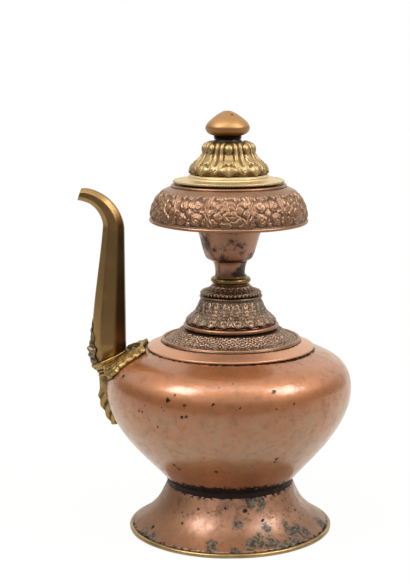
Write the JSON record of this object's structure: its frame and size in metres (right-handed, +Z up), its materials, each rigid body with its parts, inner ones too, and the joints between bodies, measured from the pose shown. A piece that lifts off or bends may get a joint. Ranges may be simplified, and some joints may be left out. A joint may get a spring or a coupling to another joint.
{
  "type": "ritual water vase",
  "caption": "Lidded copper ritual water vase on a flared foot, with a stacked neck, a domed mouth flange, a faceted bent brass spout in a leaf mount and a lotus lid that lifts off.",
  "frame": {"origin": "on the vase's axis, in the plane that it stands on", "axes": "+Z up along the axis of the vase, the spout points to -X, and the view of the picture looks along +Y"},
  "size_m": [0.1935, 0.175, 0.3003],
  "materials": {
    "copper_body": "satin, worn, brown copper",
    "copper_foot": "satin, pitted copper with green patina",
    "copper_dark": "darkened, chased copper",
    "copper_knob": "satin, tan copper",
    "brass": "cast and worn",
    "brass_old": "dark, olive",
    "blackened": "black solder and soot"
  },
  "bodies": {
    "vase": {"foot": "copper_foot", "foot_rim": "brass", "waist_collar": "blackened", "body_bowl": "copper_body", "body_shoulder": "copper_body", "shoulder_step": "copper_body", "shoulder_plate": "copper_dark", "neck_step": "copper_dark", "neck_bell": "copper_dark", "neck_cap": "copper_dark", "neck_ring": "brass", "neck_tube": "copper_dark", "neck_cup": "copper_dark", "mouth_flange": "copper_dark", "flange_rim": "copper_dark", "mouth_ring": "copper_dark", "spout": "brass_old", "spout_mount": "brass", "spout_socket": "brass", "spout_crest": "brass_old"},
    "lid": {"lid_plate": "brass", "lid_sleeve": "brass", "lid_lotus": "brass", "lid_collar": "blackened", "lid_knob": "copper_knob", "lid_rivet": "brass_old"}
  },
  "joints": [
    {"name": "lid_lift", "type": "slide", "parent": "vase", "child": "lid", "axis": [0, 0, 1], "range_m": [0, 0.08]}
  ]
}
